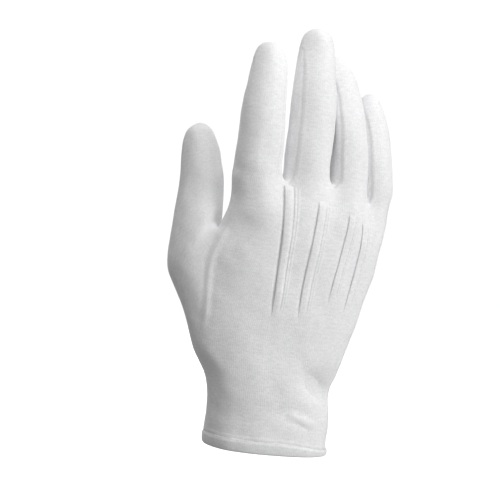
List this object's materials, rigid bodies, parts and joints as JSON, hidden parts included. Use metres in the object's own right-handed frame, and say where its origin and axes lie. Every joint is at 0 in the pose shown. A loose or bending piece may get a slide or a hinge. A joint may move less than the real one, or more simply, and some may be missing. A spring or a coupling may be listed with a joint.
{
  "type": "white parade glove",
  "caption": "Right-hand white cotton glove filled out as worn, fingers up, with raised tucks on its back, strips between the fingers and a narrow hem.",
  "frame": {"origin": "middle of the wrist opening, at the hem's lower edge", "axes": "+Z from the wrist to the fingertips, +X across the hand towards the little finger, +Y from the back of the hand to the palm"},
  "size_m": [0.124, 0.0588, 0.2379],
  "materials": {
    "white_cotton_knit": "matt fine cotton jersey"
  },
  "bodies": {
    "root": {"back_panel": "white_cotton_knit", "palm_panel": "white_cotton_knit", "fourchette_index_middle": "white_cotton_knit", "fourchette_middle_ring": "white_cotton_knit", "fourchette_ring_little": "white_cotton_knit", "thumb": "white_cotton_knit", "wrist_hem": "white_cotton_knit", "back_point_1": "white_cotton_knit", "back_point_2": "white_cotton_knit", "back_point_3": "white_cotton_knit", "back_point_4": "white_cotton_knit"}
  },
  "joints": []
}
